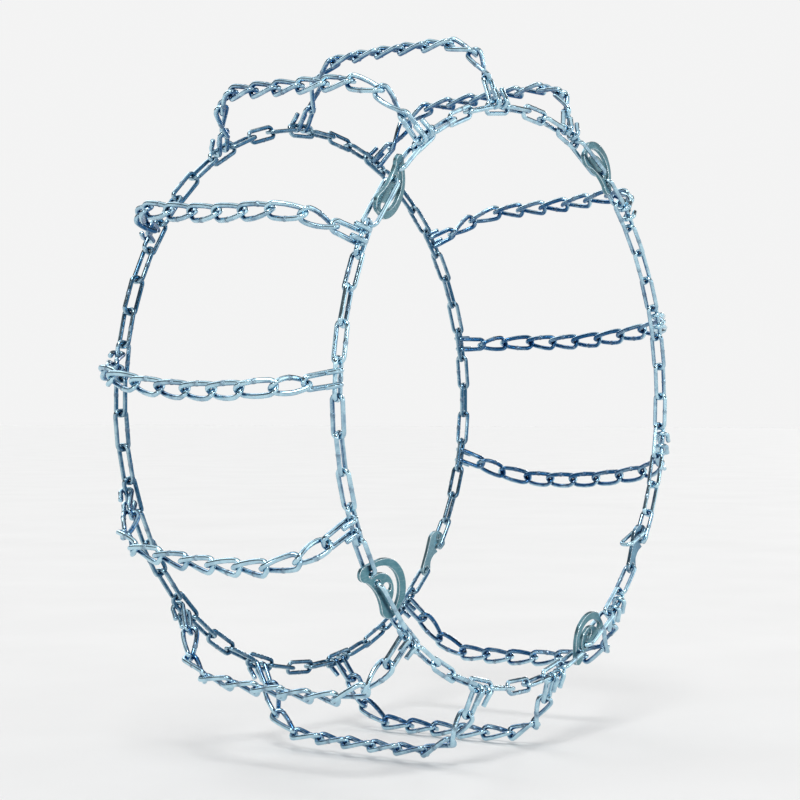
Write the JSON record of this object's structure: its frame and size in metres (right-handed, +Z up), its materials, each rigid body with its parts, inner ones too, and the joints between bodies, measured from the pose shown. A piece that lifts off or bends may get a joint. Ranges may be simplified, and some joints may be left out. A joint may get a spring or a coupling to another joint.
{
  "type": "tire snow chains",
  "caption": "Tire snow chain in its fitted shape: side chain rings joined over the tread by twisted-link cross chains with end hooks, with tension cams and a side chain fastener.",
  "frame": {"origin": "on the axle, at the middle of the tread that the chain goes round", "axes": "+Y along the axle from the street side to the vehicle side, +Z up, +X completes the right-handed set"},
  "size_m": [0.6943, 0.2755, 0.6941],
  "materials": {
    "bright_zinc": "bright zinc plating with a blue tint",
    "worn_zinc": "zinc plating, slightly duller",
    "cam_zinc": "satin blue-green zinc plating"
  },
  "bodies": {
    "side_chains": {"outer_side_chain_1": "bright_zinc", "outer_side_chain_2": "bright_zinc", "outer_side_chain_3": "bright_zinc", "outer_side_chain_4": "bright_zinc", "outer_side_chain_5": "bright_zinc", "inner_side_chain_1": "worn_zinc", "inner_side_chain_2": "worn_zinc", "inner_side_chain_3": "worn_zinc", "inner_side_chain_4": "worn_zinc", "inner_joining_hook": "worn_zinc"},
    "cross_01": {"cross_chain_01": "bright_zinc", "outer_hook_01": "bright_zinc", "inner_hook_01": "bright_zinc"},
    "cross_02": {"cross_chain_02": "bright_zinc", "outer_hook_02": "bright_zinc", "inner_hook_02": "bright_zinc"},
    "cross_03": {"cross_chain_03": "bright_zinc", "outer_hook_03": "bright_zinc", "inner_hook_03": "bright_zinc"},
    "cross_04": {"cross_chain_04": "bright_zinc", "outer_hook_04": "bright_zinc", "inner_hook_04": "bright_zinc"},
    "cross_05": {"cross_chain_05": "bright_zinc", "outer_hook_05": "bright_zinc", "inner_hook_05": "bright_zinc"},
    "cross_06": {"cross_chain_06": "bright_zinc", "outer_hook_06": "bright_zinc", "inner_hook_06": "bright_zinc"},
    "cross_07": {"cross_chain_07": "bright_zinc", "outer_hook_07": "bright_zinc", "inner_hook_07": "bright_zinc"},
    "cross_08": {"cross_chain_08": "bright_zinc", "outer_hook_08": "bright_zinc", "inner_hook_08": "bright_zinc"},
    "cross_09": {"cross_chain_09": "bright_zinc", "outer_hook_09": "bright_zinc", "inner_hook_09": "bright_zinc"},
    "cross_10": {"cross_chain_10": "bright_zinc", "outer_hook_10": "bright_zinc", "inner_hook_10": "bright_zinc"},
    "cross_11": {"cross_chain_11": "bright_zinc", "outer_hook_11": "bright_zinc", "inner_hook_11": "bright_zinc"},
    "cross_12": {"cross_chain_12": "bright_zinc", "outer_hook_12": "bright_zinc", "inner_hook_12": "bright_zinc"},
    "cross_13": {"cross_chain_13": "bright_zinc", "outer_hook_13": "bright_zinc", "inner_hook_13": "bright_zinc"},
    "cam_link_1": {"cam_pivot_link_1": "bright_zinc"},
    "cam_1": {"tension_cam_1": "cam_zinc"},
    "cam_link_2": {"cam_pivot_link_2": "bright_zinc"},
    "cam_2": {"tension_cam_2": "cam_zinc"},
    "cam_link_3": {"cam_pivot_link_3": "bright_zinc"},
    "cam_3": {"tension_cam_3": "cam_zinc"},
    "cam_link_4": {"cam_pivot_link_4": "bright_zinc"},
    "cam_4": {"tension_cam_4": "cam_zinc"},
    "fastener": {"side_chain_fastener": "cam_zinc"},
    "keeper": {"keeper_ring": "bright_zinc"}
  },
  "joints": [
    {"name": "cross_01_swing", "type": "hinge", "parent": "side_chains", "child": "cross_01", "pos_m": [-0.14709, 0.00405, 0.23947], "axis": [0.0625, 0.9973, 0.0384], "range_deg": [-3, 3]},
    {"name": "cross_02_swing", "type": "hinge", "parent": "side_chains", "child": "cross_02", "pos_m": [-0.02528, 0.00405, 0.2799], "axis": [0.073, 0.9973, 0.0066], "range_deg": [-3, 3]},
    {"name": "cross_03_swing", "type": "hinge", "parent": "side_chains", "child": "cross_03", "pos_m": [0.10181, 0.00405, 0.26194], "axis": [0.0684, 0.9973, -0.0266], "range_deg": [-3, 3]},
    {"name": "cross_04_swing", "type": "hinge", "parent": "side_chains", "child": "cross_04", "pos_m": [0.21009, 0.00405, 0.18666], "axis": [0.0487, 0.9973, -0.0548], "range_deg": [-3, 3]},
    {"name": "cross_05_swing", "type": "hinge", "parent": "side_chains", "child": "cross_05", "pos_m": [0.27118, 0.00405, 0.07378], "axis": [0.0193, 0.9973, -0.0708], "range_deg": [-3, 3]},
    {"name": "cross_06_swing", "type": "hinge", "parent": "side_chains", "child": "cross_06", "pos_m": [0.2757, 0.00405, -0.05449], "axis": [-0.0142, 0.9973, -0.072], "range_deg": [-3, 3]},
    {"name": "cross_07_swing", "type": "hinge", "parent": "side_chains", "child": "cross_07", "pos_m": [0.17526, 0.00405, -0.2197], "axis": [-0.0573, 0.9973, -0.0457], "range_deg": [-3, 3]},
    {"name": "cross_08_swing", "type": "hinge", "parent": "side_chains", "child": "cross_08", "pos_m": [0.05574, 0.00405, -0.27545], "axis": [-0.0719, 0.9973, -0.0145], "range_deg": [-3, 3]},
    {"name": "cross_09_swing", "type": "hinge", "parent": "side_chains", "child": "cross_09", "pos_m": [-0.07255, 0.00405, -0.27151], "axis": [-0.0709, 0.9973, 0.0189], "range_deg": [-3, 3]},
    {"name": "cross_10_swing", "type": "hinge", "parent": "side_chains", "child": "cross_10", "pos_m": [-0.1857, 0.00405, -0.21094], "axis": [-0.0551, 0.9973, 0.0485], "range_deg": [-3, 3]},
    {"name": "cross_11_swing", "type": "hinge", "parent": "side_chains", "child": "cross_11", "pos_m": [-0.26148, 0.00405, -0.103], "axis": [-0.0269, 0.9973, 0.0682], "range_deg": [-3, 3]},
    {"name": "cross_12_swing", "type": "hinge", "parent": "side_chains", "child": "cross_12", "pos_m": [-0.28001, 0.00405, 0.02401], "axis": [0.0063, 0.9973, 0.0731], "range_deg": [-3, 3]},
    {"name": "cross_13_swing", "type": "hinge", "parent": "side_chains", "child": "cross_13", "pos_m": [-0.24013, 0.00405, 0.146], "axis": [0.0381, 0.9973, 0.0627], "range_deg": [-3, 3]},
    {"name": "cam_link_1_swing", "type": "hinge", "parent": "side_chains", "child": "cam_link_1", "pos_m": [0.10358, -0.1239, 0.25633], "axis": [-0.0687, 0.9903, -0.121], "range_deg": [0, 25.48]},
    {"name": "cam_1_turn", "type": "hinge", "parent": "cam_link_1", "child": "cam_1", "pos_m": [0.15299, -0.1239, 0.22829], "axis": [-0.0687, 0.9903, -0.121], "range_deg": [0, 92]},
    {"name": "cam_link_2_swing", "type": "hinge", "parent": "side_chains", "child": "cam_link_2", "pos_m": [0.16951, -0.1239, -0.2184], "axis": [0.0701, -0.9903, -0.1202], "range_deg": [0, 25.48]},
    {"name": "cam_2_turn", "type": "hinge", "parent": "cam_link_2", "child": "cam_2", "pos_m": [0.12044, -0.1239, -0.24702], "axis": [0.0701, -0.9903, -0.1202], "range_deg": [0, 92]},
    {"name": "cam_link_3_swing", "type": "hinge", "parent": "side_chains", "child": "cam_link_3", "pos_m": [-0.18543, -0.1239, -0.20506], "axis": [-0.1974, -0.9659, -0.1674], "range_deg": [0, 25.48]},
    {"name": "cam_3_turn", "type": "hinge", "parent": "cam_link_3", "child": "cam_3", "pos_m": [-0.22219, -0.1239, -0.16174], "axis": [-0.1974, -0.9659, -0.1674], "range_deg": [0, 92]},
    {"name": "cam_link_4_swing", "type": "hinge", "parent": "side_chains", "child": "cam_link_4", "pos_m": [-0.23429, -0.1239, 0.14676], "axis": [0.2123, -0.9613, -0.1758], "range_deg": [0, 25.48]},
    {"name": "cam_4_turn", "type": "hinge", "parent": "cam_link_4", "child": "cam_4", "pos_m": [-0.19806, -0.1239, 0.19052], "axis": [0.2123, -0.9613, -0.1758], "range_deg": [0, 92]},
    {"name": "fastener_swing", "type": "hinge", "parent": "side_chains", "child": "fastener", "pos_m": [0.21403, -0.1239, -0.17422], "axis": [0, -1, 0], "range_deg": [0, 60]},
    {"name": "keeper_swing", "type": "hinge", "parent": "fastener", "child": "keeper", "pos_m": [0.23336, -0.1239, -0.13821], "axis": [0, -1, 0], "range_deg": [-35, 12]}
  ],
  "couplings": [
    {"joint": "cam_link_1_swing", "follows": "cam_1_turn", "ratio": 0.27696},
    {"joint": "cam_link_2_swing", "follows": "cam_2_turn", "ratio": 0.27696},
    {"joint": "cam_link_3_swing", "follows": "cam_3_turn", "ratio": 0.27696},
    {"joint": "cam_link_4_swing", "follows": "cam_4_turn", "ratio": 0.27696}
  ]
}
